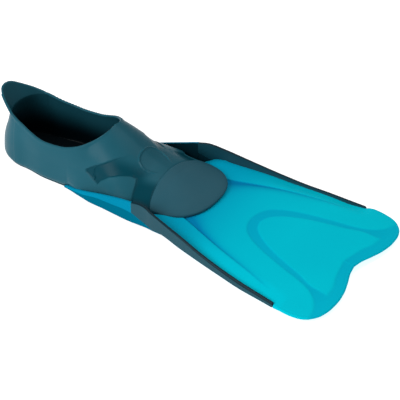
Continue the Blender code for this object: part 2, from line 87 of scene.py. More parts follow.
RIM_DROP_ANGLES = (45.0, 90.0)          # the rim's drop sets in over these angles of the heel's round
TAB_BEND_POWER, TAB_INSIDE_REACH = 1.1, 0.8
TAB_FADE_ANGLES = (-90.0, -62.0)        # where the tab's lean dies out along the rim
SEAM_GROOVE, SEAM_GROOVE_WIDTH = 0.0005, 0.0009
SEAM_STEP, SEAM_STEP_SPAN = 0.0004, (0.0002, 0.0014)
# Painted shade inside the pocket: the lining's inside tone darkens it most low down and fades by LINING_SHADE
# towards the rim
LINING_SHADE, LINING_SHADE_Z = 0.58, (0.016, 0.052)     # the lining's tone fades by this from low to high

# Relief of the pocket's flank, in X and girth: girth is GIRTH_RADIUS times the angle up from the widest line
GIRTH_RADIUS, GIRTH_Z = 0.045, 0.030
WAIST = ((0.1366, 0.0100), (0.1472, 0.0179), (0.1577, 0.0244), (0.1645, 0.0300), (0.1712, 0.0366),
         (0.1780, 0.0434), (0.1825, 0.0508), (0.1865, 0.0570), (0.1915, 0.0454), (0.1960, 0.0398),
         (0.2005, 0.0364), (0.2072, 0.0359), (0.2140, 0.0385), (0.2290, 0.0400), (0.2340, 0.0100),
         (0.2340, -0.0140), (0.2095, -0.0140), (0.2072, -0.0022), (0.2050, 0.0032), (0.2027, 0.0092),
         (0.2005, 0.0150), (0.1985, 0.0192), (0.1915, 0.0196), (0.1847, 0.0178), (0.1802, 0.0164),
         (0.1735, 0.0133), (0.1690, 0.0115), (0.1645, 0.0079), (0.1590, 0.0039), (0.1555, -0.0010),
         (0.1510, 0.0005), (0.1440, 0.0035), (0.1372, 0.0065))
WAIST_DEPTH, WAIST_SOFTNESS = 0.0012, 0.0016
SHIELD = ((0.2190, 0.0110), (0.2140, 0.0138), (0.2072, 0.0169), (0.2005, 0.0184), (0.1960, 0.0177),
          (0.1915, 0.0156), (0.1890, 0.0120), (0.1876, 0.0070), (0.1872, 0.0000))
SHIELD_HEIGHT, SHIELD_WIDTH = 0.0012, 0.0008
# Limits of the lobe and of the relief's fades, as (none, full) along X or girth
LOBE_START, LOBE_END, LOBE_GIRTH, LOBE_SPREAD = (0.156, 0.175), (0.192, 0.205), 0.004, (0.003, 0.018)
FAR_TOE_X, FAR_TOE_GIRTH = (0.186, 0.198), (0.004, 0.016)
FAR_TOP_X, FAR_TOP_GIRTH = (0.156, 0.166), (0.026, 0.040)
FAR_EDGE = (-0.002, 0.004)
TOP_FADE, TOE_FADE_X, TOE_FADE_GIRTH = (-0.052, -0.030), (0.198, 0.212), (0.010, 0.024)
# Fades of the painted shade in the waist's hollow, towards the crown and the toe
WAIST_SHADE_FADE, TOE_SHADE_X, TOE_SHADE_GIRTH = (0.024, 0.046), (0.198, 0.214), (0.012, 0.026)
# The pocket's foot swells out to the side walls:
# (x, girth where it starts, share of the gap filled, gap left)
SWELL = ((0.104, 0.0060, 1.00, -0.0022), (0.125, 0.0060, 1.00, -0.0018), (0.145, 0.0040, 0.96, -0.0006),
         (0.165, 0.0079, 0.90, 0.0008), (0.185, 0.0178, 0.86, 0.0012), (0.2005, 0.0195, 0.82, 0.0012),
         (0.2070, 0.0150, 0.45, 0.0012), (0.2200, 0.0100, 0.15, 0.0012), (0.2340, 0.0100, 0.00, 0.0012))
SWELL_GIRTH = 0.022
DIMPLE = (0.1940, 0.0208)   # small boss where the waist meets the lobe, as x and girth

# Frame and rails: (x, outer half width, underside, top edge)
EDGE = ((0.104, 0.0406, 0.0010, 0.0030), (0.107, 0.0416, 0.0012, 0.0050), (0.126, 0.0500, 0.0042, 0.0125),
        (0.148, 0.0575, 0.0058, 0.0215), (0.169, 0.0610, 0.0076, 0.0284), (0.199, 0.0660, 0.0093, 0.0371),
        (0.216, 0.0695, 0.0120, 0.0414), (0.230, 0.0711, 0.0148, 0.0439), (0.236, 0.0720, 0.0165, 0.0434),
        (0.244, 0.0740, 0.0185, 0.0413), (0.259, 0.0770, 0.0205, 0.0379), (0.288, 0.0822, 0.0157, 0.0312),
        (0.318, 0.0880, 0.0125, 0.0241), (0.346, 0.0927, 0.0094, 0.0188), (0.373, 0.0972, 0.0068, 0.0153),
        (0.400, 0.1004, 0.0052, 0.0122), (0.417, 0.1024, 0.0042, 0.0103))
FOLD = ((0.104, 0.0018), (0.136, 0.0125), (0.161, 0.0205), (0.184, 0.0236), (0.215, 0.0275), (0.229, 0.0235),
        (0.246, 0.0195))
WALL, RAIL = 0.0030, 0.0033
# Depth of the rail's dark top
RAIL_BROW = ((0.232, 0.00), (0.250, 0.03), (0.300, 0.12), (0.360, 0.28), (0.417, 0.38))
WALL_START_X, COLOUR_BREAK_X, KEEL_END_X, RAIL_END_X = 0.104, 0.2163, 0.2465, 0.4170

# Blade
BLADE_REF_X, BLADE_REF_Z, BLADE_SLOPE = 0.300, 0.0223, -0.109
HINGE_X, TAIL_X = 0.2930, 0.4717
ROOT_ROLL = ((0.2262, 0.0110), (0.2320, 0.0072), (0.2400, 0.0028), (0.2520, 0.0003), (0.3000, 0.0000))
ROOT_THICKNESS, TAIL_THICKNESS = 0.0046, 0.0034
BLADE_SIDE = ((0.2262, 0.0660), (0.2590, 0.0742), (0.3180, 0.0860), (0.3730, 0.0950), (0.4040, 0.0985),
              (0.4120, 0.0997), (0.4165, 0.1005), (0.4172, 0.1014), (0.4182, 0.1030), (0.4250, 0.1044),
              (0.4330, 0.1048), (0.4450, 0.1035), (0.4525, 0.1010), (0.4582, 0.0975))
TAIL_EDGE = ((0.4582, 0.0975), (0.4632, 0.0922), (0.4675, 0.0850), (0.4709, 0.0719), (TAIL_X, 0.0585),
             (0.4699, 0.0427), (0.4657, 0.0278), (0.4602, 0.0117), (0.4580, 0.0000))
CREASE = ((0.2600, 0.0400), (0.2700, 0.0430), (0.2840, 0.0480), (0.3010, 0.0545), (0.3311, 0.0650),
          (0.3683, 0.0755), (0.4070, 0.0865))
CREASE_DEPTH = ((0.255, 0.0018), (0.290, 0.0014), (0.330, 0.0008), (0.407, 0.0000))
CREASE_SPREAD = ((0.255, 0.0130), (0.280, 0.0105), (0.300, 0.0055), (0.330, 0.0034), (0.407, 0.0022))
# Painted shade in the crease hollows along the blade, as (x, strength)
CREASE_SHADE = ((0.262, 0.85), (0.310, 0.75), (0.360, 0.55), (0.407, 0.25))
CHEVRON_OUTER = ((0.3288, 0.0000), (0.3305, 0.0102), (0.3365, 0.0223), (0.3488, 0.0321), (0.3655, 0.0400),
                 (0.3988, 0.0507), (0.4300, 0.0595), (0.4455, 0.0684), (0.4540, 0.0790), (0.4575, 0.0880))
CHEVRON_INNER = ((0.3400, 0.0000), (0.3425, 0.0093), (0.3500, 0.0186), (0.3610, 0.0265), (0.3770, 0.0346),
                 (0.3938, 0.0409), (0.4182, 0.0488), (0.4400, 0.0570), (0.4570, 0.0580))
BORDER_INNER = ((0.4455, 0.0000), (0.4485, 0.0150), (0.4520, 0.0300), (0.4570, 0.0450), (0.4580, 0.0580))
BAND_DEPTH, BAND_SOFTNESS = 0.0004, 0.0012
CREASE_OUTER_WIDTH = 0.0007
BEYOND_TAIL = ((0.4600, 0.1060), (0.4720, 0.0800), (0.4760, 0.0500), (0.4760, -0.0010))
EDGE_STEPS, FREE_SIDE_FROM = 80, 50     # the blade's side is free of the rail from this step on
# Rise of the blade's middle, and dip of its sides between the rails
ARCH = ((0.262, 0.0000), (0.300, 0.0020), (0.340, 0.0042), (0.380, 0.0052), (0.480, 0.0056))
ARCH_POWER = 2.5
ARCH_HALF_WIDTH = 0.103
SIDE_DIP = ((0.262, 0.0000), (0.300, 0.0016), (0.335, 0.0036), (0.395, 0.0038), (0.412, 0.0024),
            (0.426, 0.0000))
SIDE_DIP_WIDTH = 0.020
# Painted shade deepening the colour of the blade's root, by the toe cap and rails
ROOT_SHADE = ((0.240, 0.62), (0.272, 0.55), (0.330, 0.18), (0.380, 0.00))
GLOSS_SPREAD = 0.04
LAMPS = (("key", (-0.55, -1.30, 0.85), 0.9, 20.0), ("top", (0.25, 0.55, 1.60), 1.1, 9.0))


def curve(x, knots, column=1):
    """Monotone cubic curve through knots at each x, held level beyond both ends."""
    xs = np.array([k[0] for k in knots])
    ys = np.array([k[column] for k in knots])
    span = np.diff(xs)
    chord = np.diff(ys) / span
    product = chord[:-1] * chord[1:]
    total = np.where(np.abs(chord[:-1] + chord[1:]) < 1e-12, 1.0, chord[:-1] + chord[1:])
    inner = np.where(product > 0.0, 2.0 * product / total, 0.0)
    slope = np.concatenate(([chord[0]], inner, [chord[-1]]))
    x = np.clip(np.asarray(x, float), xs[0], xs[-1])
    i = np.clip(np.searchsorted(xs, x, side="right") - 1, 0, len(xs) - 2)
    t = (x - xs[i]) / span[i]
    return ((2 * t**3 - 3 * t**2 + 1) * ys[i] + (t**3 - 2 * t**2 + t) * span[i] * slope[i]
            + (3 * t**2 - 2 * t**3) * ys[i + 1] + (t**3 - t**2) * span[i] * slope[i + 1])


def ramp(value, low, high):
    """Smooth step from 0 at low to 1 at high."""
    t = np.clip((value - low) / (high - low), 0.0, 1.0)
    return t * t * (3.0 - 2.0 * t)


def line_distance(px, py, points, closed=False):
    """Distance of each point to a polyline in the plane."""
    pts = list(points) + ([points[0]] if closed else [])
    best = np.full(np.shape(px), 1e9)
    for (x0, y0), (x1, y1) in zip(pts, pts[1:]):
        dx, dy = x1 - x0, y1 - y0
        t = np.clip(((px - x0) * dx + (py - y0) * dy) / (dx * dx + dy * dy + 1e-18), 0.0, 1.0)
        best = np.minimum(best, np.hypot(px - x0 - t * dx, py - y0 - t * dy))
    return best


def inside(px, py, points):
    """Whether each point lies in a closed outline in the plane."""
    found = np.zeros(np.shape(px), bool)
    for (x0, y0), (x1, y1) in zip(points, list(points[1:]) + [points[0]]):
        crosses = (y0 > py) != (y1 > py)
        at = x0 + (py - y0) * (x1 - x0) / (y1 - y0 + 1e-18)
        found ^= crosses & (px < at)
    return found


def smooth_line(points, count):
    """Evenly spaced points on a smooth curve through the given points."""
    p = np.array(points, float)
    s = np.concatenate(([0.0], np.cumsum(np.linalg.norm(np.diff(p, axis=0), axis=1))))
    at = np.linspace(0.0, s[-1], count)
    return np.column_stack([curve(at, list(zip(s, p[:, k]))) for k in range(p.shape[1])])


# ---------------------------------------------------------------- meshes

def grid_faces(rows, columns, offset=0, wrap=False):
    """Quads of a grid of rows by columns vertices, numbered along each row."""
    i, j = np.meshgrid(np.arange(rows - 1), np.arange(columns if wrap else columns - 1), indexing="ij")
    k = (j + 1) % columns
    quads = np.stack([i * columns + j, i * columns + k, (i + 1) * columns + k, (i + 1) * columns + j], -1)
    return (quads.reshape(-1, 4) + offset).tolist()


class Surface:
    """Collects grids of points with per-point tones, then welds them into one object."""

    def __init__(self, tones=()):
        self.points, self.faces, self.tones = [], [], {t: [] for t in tones}
        self.count = 0

    def add(self, grid, wrap=False, flip=False, **tones):
        rows, columns = grid.shape[:2]
        faces = grid_faces(rows, columns, self.count, wrap)
        self.faces += [f[::-1] for f in faces] if flip else faces
        self.points.append(grid.reshape(-1, 3))
        for name, values in self.tones.items():
            given = tones.get(name)
            values.append(np.zeros(rows * columns) if given is None else np.asarray(given).reshape(-1))
        self.count += rows * columns

    def cap(self, first, count):
        """Polygon over count vertices that start at first."""
        loop = list(range(first, first + count))
        self.faces.append(loop)

    def build(self, name, material, sharp=40.0, weld=2e-6):
        mesh = bpy.data.meshes.new(name)
        points = np.concatenate(self.points) - np.array((ORIGIN_X, 0.0, 0.0))
        mesh.from_pydata(points.tolist(), [], self.faces)
        for tone, values in self.tones.items():
            layer = mesh.attributes.new(tone, "FLOAT", "POINT")
            layer.data.foreach_set("value", np.concatenate(values).astype(np.float32))
        bm = bmesh.new()
        bm.from_mesh(mesh)
        bmesh.ops.remove_doubles(bm, verts=bm.verts, dist=weld)
        bmesh.ops.dissolve_degenerate(bm, dist=1e-7, edges=bm.edges)
        bmesh.ops.recalc_face_normals(bm, faces=bm.faces)
        bm.to_mesh(mesh)
        bm.free()
        mesh.shade_smooth()
        mesh.set_sharp_from_angle(angle=math.radians(sharp))
        mesh.materials.append(material)
        obj = bpy.data.objects.new(name, mesh)
        bpy.context.collection.objects.link(obj)
        return obj


def grid_normals(grid, outward):
    """Unit normals of a grid of points, turned to the side that outward(points) gives."""
    along = np.gradient(grid, axis=0)
    across = np.gradient(grid, axis=1)
    normal = np.cross(along, across)
    length = np.linalg.norm(normal, axis=-1, keepdims=True)
    guess = outward(grid)
    normal = np.where(length > 1e-10, normal / np.maximum(length, 1e-10), guess)
    sign = np.sign(np.sum(normal * guess, axis=-1, keepdims=True))
    return normal * np.where(sign == 0.0, 1.0, sign)


# ---------------------------------------------------------------- foot pocket

def crown_z(x):
    x = np.asarray(x, float)
    return np.where(x > TOE_FAN_X, curve(TOE_FAN_X, CROWN) + CROWN_SLOPE * (x - TOE_FAN_X), curve(x, CROWN))


def collar_front_x(inset):
    """Where the collar's rim crosses the crown line."""
    low, high = 0.120, 0.158
    for _ in range(40):
        mid = 0.5 * (low + high)
        if curve(mid, RIM) < crown_z(mid) - inset:
            low = mid
        else:
            high = mid
    return 0.5 * (low + high)


def pocket_stations(inset):
    """Stations (centre x, outline x, outline y, rim z) from heel to toe; rim z is None past the collar."""
    heel_width = float(curve(HEEL_FAN_X, HALF_WIDTH)) - inset
    stations = []
    for angle in np.linspace(0.0, 0.5 * math.pi, HEEL_ROWS + 1)[:-1]:
        stations.append((HEEL_FAN_X, HEEL_FAN_X - (HEEL_LENGTH - inset) * math.cos(angle),
                         heel_width * math.sin(angle),
                         float(curve(math.degrees(angle), TAB_RIM, 3)
                               - RIM_DROP * ramp(math.degrees(angle), *RIM_DROP_ANGLES))))
    front = collar_front_x(inset)
    for k in range(COLLAR_ROWS):
        x = HEEL_FAN_X + (front - HEEL_FAN_X) * math.sin(0.5 * math.pi * k / COLLAR_ROWS)
        stations.append((x, x, float(curve(x, HALF_WIDTH)) - inset, float(curve(x, RIM)) - RIM_DROP))
    collar_count = len(stations)
    for x in np.linspace(front, SEAM_X, INSTEP_ROWS):
        stations.append((x, x, float(curve(x, HALF_WIDTH)) - inset, None))
    seam = len(stations) - 1
    for x in np.linspace(SEAM_X, TOE_FAN_X, 26)[1:-1]:
        stations.append((x, x, float(curve(x, HALF_WIDTH)) - inset, None))
    width = float(curve(TOE_FAN_X, HALF_WIDTH)) - inset
    power = 2.0 / TOE_SQUARENESS
    for angle in np.linspace(0.5 * math.pi, 0.0, TOE_ROWS):
        stations.append((TOE_FAN_X, TOE_FAN_X + (TOE_LENGTH - inset) * max(math.cos(angle), 0.0)**power,
                         width * max(math.sin(angle), 0.0)**power, None))
    return stations, collar_count, seam


def pocket_rows(inset, columns=GIRTH_STEPS):
    """Grid of points of one skin of the pocket, one row for each station, from sole to rim or crown."""
    stations, collar_count, seam = pocket_stations(inset)
    heel_width = float(curve(HEEL_FAN_X, HALF_WIDTH))
    rows = []
    for k, (centre_x, outline_x, outline_y, rim_z) in enumerate(stations):
        squareness = float(curve(centre_x, UPPER_SQUARENESS))
        lower = np.linspace(0.5 * math.pi, 0.0, 60)
        low_square = float(curve(centre_x, LOWER_SQUARENESS))
        reach_low = np.clip(np.cos(lower), 0.0, 1.0)**(2.0 / low_square)
        x_low = centre_x + (outline_x - centre_x) * reach_low
        widest = curve(x_low, WIDEST)
        z_low = widest - (widest - curve(x_low, BOTTOM) - inset) * np.sin(lower)**(2.0 / low_square)
        last = 0.5 * math.pi
        if rim_z is not None:
            base = float(curve(outline_x, WIDEST))
            part = (rim_z - base) / (float(crown_z(centre_x)) - inset - base)
            last = math.asin(min(1.0, part)**(0.5 * squareness))
        upper = np.linspace(0.0, last, 120)[1:]
        reach_up = np.clip(np.cos(upper), 0.0, 1.0)**(2.0 / squareness)
        x_up = centre_x + (outline_x - centre_x) * reach_up
        widest = curve(x_up, WIDEST)
        z_up = widest + (crown_z(x_up) - inset - widest) * np.sin(upper)**(2.0 / squareness)
        x, z = np.concatenate((x_low, x_up)), np.concatenate((z_low, z_up))
        y = outline_y * np.concatenate((reach_low, reach_up))
        behind = np.clip((HEEL_FAN_X - x) / HEEL_LENGTH, 0.0, None)
        x = x + curve(z, BACK_SHIFT) * behind**2
        if k < HEEL_ROWS:
            angle = 90.0 * k / HEEL_ROWS
            lean = np.clip((z - TAB_BEND_Z) / (z[-1] - TAB_BEND_Z), 0.0, 1.0)**TAB_BEND_POWER
            lean = lean * ramp(-angle, *TAB_FADE_ANGLES)
            shrink = 1.0 - inset / heel_width
            rim_x = float(curve(angle, TAB_RIM, 1)) + TAB_INSIDE_REACH * inset * math.cos(math.radians(angle))
            x = x + lean * (rim_x - x[-1])
            y = y + lean * (float(curve(angle, TAB_RIM, 2)) * shrink - y[-1])
        if rim_z is not None:
            flare = RIM_FLARE * ramp(outline_x, 0.024, 0.056) * (1.0 - ramp(outline_x, 0.110, 0.145))
            y = y + flare * ramp(z, 0.5 * rim_z, rim_z)
        line = np.column_stack((x, y, z))
        s = np.concatenate(([0.0], np.cumsum(np.linalg.norm(np.diff(line, axis=0), axis=1))))
        at = np.linspace(0.0, s[-1], columns)
        rows.append(np.column_stack([np.interp(at, s, line[:, k]) for k in range(3)]))
    rows = bow_seam(np.array(rows), collar_count, seam, len(stations) - TOE_ROWS)
    return rows, collar_count, seam


def bow_seam(rows, first, seam, last):
    """Slide points along the foot so that the row on the seam swings forward at its sides."""
    x = rows[first:last + 1, :, 0].copy()
    bow = SEAM_BOW * np.clip(np.abs(rows[seam, :, 1]) / SEAM_REACH, 0.0, 1.0)**3
    back = np.clip((x - x[0]) / (SEAM_X - x[0]), 0.0, 1.0)
    ahead = np.clip((TOE_FAN_X - x) / (TOE_FAN_X - SEAM_X), 0.0, 1.0)
    wanted = x + bow * np.minimum(back, ahead)
    for j in range(rows.shape[1]):
        line = rows[first:last + 1, j].copy()
        for k in range(3):
            rows[first:last + 1, j, k] = np.interp(wanted[:, j], line[:, 0], line[:, k])
    return rows


def flank_outward(grid):
    """Rough outward direction of the pocket: away from a line through its middle."""
    x = grid[..., 0]
    middle_x = np.clip(x, HEEL_FAN_X, TOE_FAN_X)
    away = grid - np.stack((middle_x, np.zeros_like(x), np.full_like(x, GIRTH_Z)), -1)
    return away / np.maximum(np.linalg.norm(away, axis=-1, keepdims=True), 1e-9)


def pocket_relief(grid):
    """Height of the moulded relief at each point of the outer skin, and the tone of its hollow, which is painted
    shade.
    """
    x, y, z = grid[..., 0], grid[..., 1], grid[..., 2]
    around = np.arctan2(z - GIRTH_Z, -y)
    girth = GIRTH_RADIUS * around
    flank = GIRTH_RADIUS * np.minimum(around, math.pi - around)
    depth = line_distance(x, flank, WAIST, closed=True) * np.where(inside(x, flank, WAIST), 1.0, -1.0)
    waist = ramp(depth, -0.5 * WAIST_SOFTNESS, 0.5 * WAIST_SOFTNESS)
    lobe = ramp(x, *LOBE_START) * (1.0 - ramp(x, *LOBE_END))
    lobe = lobe * (1.0 - ramp(np.abs(flank - LOBE_GIRTH), *LOBE_SPREAD))
    shield = np.exp(-(line_distance(x, np.abs(y), SHIELD) / SHIELD_WIDTH)**2)
    shield = shield * ramp(girth, 0.020, 0.025) * (1.0 - ramp(x, 0.206, 0.218))
    boss = np.exp(-(np.hypot(x - DIMPLE[0], flank - DIMPLE[1]) / 0.0011)**2)
    far = np.maximum(ramp(x, *FAR_TOE_X) * ramp(flank, *FAR_TOE_GIRTH),
                     ramp(x, *FAR_TOP_X) * ramp(flank, *FAR_TOP_GIRTH))
    far = far * ramp(y, *FAR_EDGE)
    faded = ramp(-flank, *TOP_FADE) * (1.0 - ramp(x, *TOE_FADE_X) * ramp(flank, *TOE_FADE_GIRTH)) * (1.0 - far)
    height = -WAIST_DEPTH * waist * faded + 0.0007 * lobe + SHIELD_HEIGHT * shield + 0.0007 * boss
    # the waist's tone is painted shade in its hollow, left off on the far side
    tone = waist * (1.0 - far) * (1.0 - ramp(flank, *WAIST_SHADE_FADE))
    return height, tone * (1.0 - ramp(x, *TOE_SHADE_X) * ramp(flank, *TOE_SHADE_GIRTH))


def swelling(grid):
    """Factor by which the pocket's foot widens towards the side walls."""
    x, y, z = grid[..., 0], grid[..., 1], grid[..., 2]
    flank = GIRTH_RADIUS * np.arctan2(z - GIRTH_Z, np.abs(y))
    width = curve(x, HALF_WIDTH)
    gap = np.clip(curve(x, EDGE) - WALL - curve(x, SWELL, 3) - width, 0.0, None) * ramp(x, 0.098, 0.108)
    drop = np.clip((curve(x, SWELL) - flank) / SWELL_GIRTH, 0.0, 1.0)
    return 1.0 + gap / width * curve(x, SWELL, 2) * drop**1.3


def build_pocket():
    outer, collar_count, seam = pocket_rows(0.0)
    inner, _, _ = pocket_rows(SHELL)
    rim = np.concatenate((outer[:collar_count + 1, -1], outer[:collar_count + 1, -1] * np.array((1, -1, 1))))
    shell = Surface(tones=("waist", "inside"))
    cap = Surface(tones=("waist", "inside"))
    for side in (1.0, -1.0):
        flip = np.array((1.0, side, 1.0))
        skin = outer * flip
        height, waist = pocket_relief(skin)
        skin[..., 1] *= swelling(skin)
        waist[seam + 1:] = 0.0
        height[seam + 1:] = 0.0
        nearest = np.min(np.linalg.norm(skin[:, :, None, :] - rim[None, None, ::2, :], axis=-1), axis=-1)
        height = height + RIM_BEAD * np.exp(-(nearest / RIM_BEAD_WIDTH)**2)
        behind_seam = skin[..., 0] - skin[seam, :, 0][None, :]
        height = height - SEAM_GROOVE * np.exp(-(behind_seam / SEAM_GROOVE_WIDTH)**2)
        height = height + SEAM_STEP * ramp(behind_seam, *SEAM_STEP_SPAN)
        normal = grid_normals(skin, flank_outward)
        normal[:, 0, 1] = 0.0
        normal[collar_count:, -1, 1] = 0.0
        normal[0, :, 1] = 0.0
        normal[-1, :, 1] = 0.0
        skin = skin + normal * height[..., None]
        lining = inner * flip
        add_part(shell, skin[:seam + 1], lining[:seam + 1], waist[:seam + 1])
        add_part(cap, skin[seam:], lining[seam:], waist[seam:])
        shell.add(rim_lip(skin[:collar_count + 1], lining[:collar_count + 1]))
        shell.add(np.stack((skin[seam], lining[seam])))
        cap.add(np.stack((skin[seam], lining[seam])))
    return shell, cap


def add_part(surface, skin, lining, waist):
    surface.add(skin, waist=waist)
    # the lining's inside tone is painted shade, darkest low in the pocket
    surface.add(lining, inside=1.0 - LINING_SHADE * ramp(lining[..., 2], *LINING_SHADE_Z))


def rim_lip(skin, lining, steps=7):
    """Rounded lip from the outer skin over to the lining, along the collar."""
    top, low = skin[:, -1], lining[:, -1]
    middle, half = 0.5 * (top + low), 0.5 * (top - low)
    rise = skin[:, -1] - skin[:, -3]
    rise = rise / np.linalg.norm(rise, axis=-1, keepdims=True)
    reach = np.linalg.norm(half, axis=-1, keepdims=True) * 0.75
    rows = [middle + half * math.cos(a) + rise * reach * math.sin(a)
            for a in np.linspace(0.0, math.pi, steps)]
    return np.stack(rows, axis=1)


# ---------------------------------------------------------------- frame, rails and blade

def ring_piece(name, material, rows, sharp, **tones):
    """Closed bar through rings of points, with the same tones on every ring."""
    surface = Surface(tones=tuple(tones))
    surface.add(rows, wrap=True, **{k: np.tile(v, (rows.shape[0], 1)) for k, v in tones.items()})
    surface.cap(0, rows.shape[1])
    surface.cap((rows.shape[0] - 1) * rows.shape[1], rows.shape[1])
    return surface.build(name, material, sharp=sharp)


def wall_piece(name, material, side):
    """Side wall: an upright band, folded under along its foot, whose foot runs on below the rail."""
    xs = np.concatenate((np.linspace(WALL_START_X, COLOUR_BREAK_X, 70), [COLOUR_BREAK_X + 0.0004],
                         np.linspace(COLOUR_BREAK_X + 0.002, KEEL_END_X, 24)))
    outer, low, high = (curve(xs, EDGE, c) for c in (1, 2, 3))
    fold = np.minimum(curve(xs, FOLD), low + 0.8 * (high - low))
    fold = np.where(xs > COLOUR_BREAK_X + 0.0002, np.maximum(curve(xs, FOLD), low + 0.0012), fold)
    high = np.where(xs > COLOUR_BREAK_X + 0.0002, fold + 0.0006, high)
    tall = high - low
    r = np.minimum(0.0009, 0.25 * tall)
    inner = outer - WALL
    tuck = 0.0028 * ramp(tall, 0.002, 0.012)
    # The keel flag darkens the folded-under foot of the wall: painted shade on a face turned down.
    # The lining flag tints the wall's inner face near-black: painted shade in the gap by the pocket.
    section = (
        (outer - tuck - r, low, 1, 0), (outer - tuck - 0.3 * r, low + 0.3 * r, 1, 0),
        (outer - tuck, low + r, 1, 0),
        (outer - 0.75 * tuck, 0.75 * low + 0.25 * fold, 1, 0),
        (outer - 0.45 * tuck, 0.4 * low + 0.6 * fold, 1, 0),
        (outer - 0.12 * tuck, fold - 0.5 * r, 1, 0), (outer, fold + 0.2 * r, 0, 0),
        (outer + 0.0002, 0.7 * fold + 0.3 * high, 0, 0), (outer + 0.0002, 0.35 * fold + 0.65 * high, 0, 0),
        (outer, high - r, 0, 0), (outer - 0.3 * r, high - 0.3 * r, 0, 0), (outer - r, high, 0, 0),
        (inner + 1.2 * r, high, 0, 0), (inner + 0.5 * r, high - 0.2 * r, 0, 0),
        (inner + 0.3 * r, high - 0.35 * r, 0, 1),
        (inner, high - 1.2 * r, 0, 1), (inner - 0.0002, 0.5 * (low + high), 0, 1),
        (inner - tuck, low + r, 0, 1),
        (inner - tuck + 0.5 * r, low + 0.2 * r, 0, 1), (inner - tuck + r, low + 0.05 * r, 1, 0))
    rows = np.stack([np.column_stack((xs, side * q[0], q[1])) for q in section], axis=1)
    return ring_piece(name, material, rows, 30.0,
                      keel=[q[2] for q in section], lining=[q[3] for q in section])


def rail_piece(name, material, side):
    """Rail: a pale upright outer face, a dark rounded top and a dark inner face that slopes to the blade."""
    xs = np.concatenate((np.linspace(COLOUR_BREAK_X, 0.262, 40)[:-1], np.linspace(0.262, RAIL_END_X - 0.0016, 90),
                         [RAIL_END_X - 0.0008, RAIL_END_X - 0.0002, RAIL_END_X]))
    outer, low, high = (curve(xs, EDGE, c) for c in (1, 2, 3))
    low = np.where(xs < KEEL_END_X, np.maximum(low, curve(xs, FOLD) + 0.0002), low)
    tall = high - low
    r = np.minimum(0.0012, 0.25 * tall)
    inner = outer - RAIL
    foot = 0.0022 * ramp(xs, 0.236, 0.262)
    brow = high - np.maximum(curve(xs, RAIL_BROW) * tall, 0.0006)
    section = (
        (outer - 0.0002, low + 0.2 * r, 0), (outer + 0.0002, low + 0.5 * r, 0),
        (outer + 0.0002, 0.5 * (low + brow), 0),
        (outer + 0.0001, brow - 0.0002, 0), (outer - 0.0001, brow, 0), (outer - 0.0003, brow + 0.0001, 1),
        (outer - 0.0008, 0.35 * brow + 0.65 * high, 1), (outer - 0.0013, high - 0.0002, 1),
        (outer - 0.0020, high, 1),
        (outer - 0.0026, high, 1), (inner + 0.0004, high - 0.0002, 1), (inner + 0.0001, high - 0.0005, 1),
        (inner, high - 0.0008, 0.2), (inner - 0.2 * foot, low + 0.55 * tall, 0.1),
        (inner - foot, low + 0.35 * tall, 0.3),
        (inner - foot, low + 0.7 * r, 0.5), (inner - foot + 0.5 * r, low + 0.2 * r, 0.5),
        (outer - 0.5 * RAIL, low, 0),
        (outer - 0.6 * r, low + 0.05 * r, 0))
    rows = np.stack([np.column_stack((xs, side * q[0], q[1])) for q in section], axis=1)
    for back, shrink in ((-3, 0.95), (-2, 0.85), (-1, 0.70)):
        middle = rows[back].mean(axis=0)
        rows[back] = middle + (rows[back] - middle) * np.array((1.0, shrink, shrink))
    return ring_piece(name, material, rows, 38.0, strip=[q[2] for q in section])


def plate_piece(name, material, xs, half_width, top, bottom, relief, columns=61, **tones):
    """Plate along the sole, with relief moulded into its underside."""
    u = np.linspace(-1.0, 1.0, columns)
    u = np.sign(u) * (1.0 - (1.0 - np.abs(u))**1.25)
    x = np.repeat(xs[:, None], columns, axis=1)
    y = half_width[:, None] * u[None, :]
    edge = half_width[:, None] - np.abs(y)
    high = np.repeat(top[:, None], columns, axis=1)
    low = bottom[:, None] + relief(x, y, edge)
    surface = Surface(tones=tuple(tones))
    upper, lower = np.stack((x, y, high), -1), np.stack((x, y, low), -1)
    surface.add(upper, **{k: np.full(x.shape, v[0]) for k, v in tones.items()})
    surface.add(lower, **{k: np.full(x.shape, v[1]) for k, v in tones.items()})
    for above, below in ((upper[0], lower[0]), (upper[-1], lower[-1]), (upper[:, 0], lower[:, 0]),
                         (upper[:, -1], lower[:, -1])):
        surface.add(np.stack((above, below)), **{k: np.full((2, len(above)), v[1]) for k, v in tones.items()})
    return surface.build(name, material, sharp=35.0)


def chevron_relief(pitch, depth, border):
    """Chevron lugs cut into a plain rim of the given width."""
    def relief(x, y, edge):
        wave = np.cos(2.0 * math.pi * (x + 0.45 * np.abs(y)) / pitch)
        return depth * ramp(wave, -0.25, 0.25) * ramp(edge, border, border + 0.001)
    return relief


def tray_relief(x, y, edge):
    """Lengthwise and cross ribs under the tray."""
    long_ribs = np.zeros_like(x)
    for at in (0.0, 0.016, 0.032):
        long_ribs = np.maximum(long_ribs, np.exp(-((np.abs(y) - at) / 0.0011)**4))
    cross_ribs = np.exp(-((np.mod(x, 0.014) - 0.007) / 0.0009)**4)
    rim = 1.0 - ramp(edge, 0.0025, 0.0035)
    return 0.0009 * (1.0 - np.maximum(np.maximum(long_ribs, cross_ribs), rim))


def blade_top(x):
    return BLADE_REF_Z + BLADE_SLOPE * (x - BLADE_REF_X) - curve(x, ROOT_ROLL)


